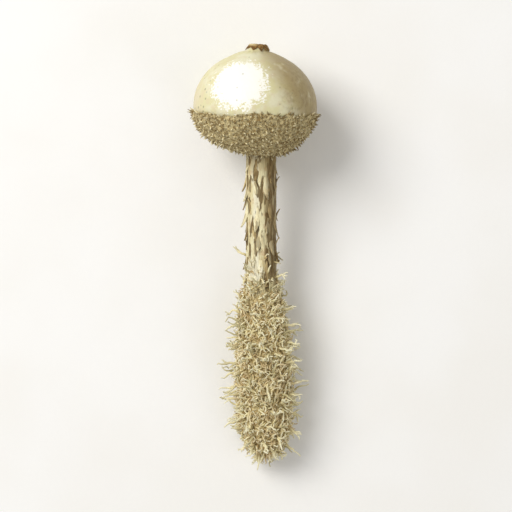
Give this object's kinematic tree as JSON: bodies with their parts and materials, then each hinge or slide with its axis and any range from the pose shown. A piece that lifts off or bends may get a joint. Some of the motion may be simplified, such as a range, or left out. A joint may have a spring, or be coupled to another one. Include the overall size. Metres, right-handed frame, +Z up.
{
  "type": "shaggy-stemmed stalked puffball mushroom",
  "caption": "Stalked puffball lying on its side: cream head with a toothed mouth and bristly brown cup, scaly cream stem, curly wool round the foot.",
  "frame": {"origin": "on the ground, at the centre of the outline seen from above", "axes": "+Z up, +Y along the lying stem towards the head, +X to the right when seen from above with the head at the top"},
  "size_m": [0.0197, 0.0647, 0.0191],
  "materials": {
    "sac_cream": "satin",
    "crown_brown": "matte",
    "skin_brown": "matte",
    "stem_cream": "matte",
    "wool_tan": "matte"
  },
  "bodies": {
    "root": {"spore_sac": "sac_cream", "mouth_crown": "crown_brown", "outer_skin": "skin_brown", "stem": "stem_cream", "base_wool": "wool_tan"}
  },
  "joints": []
}
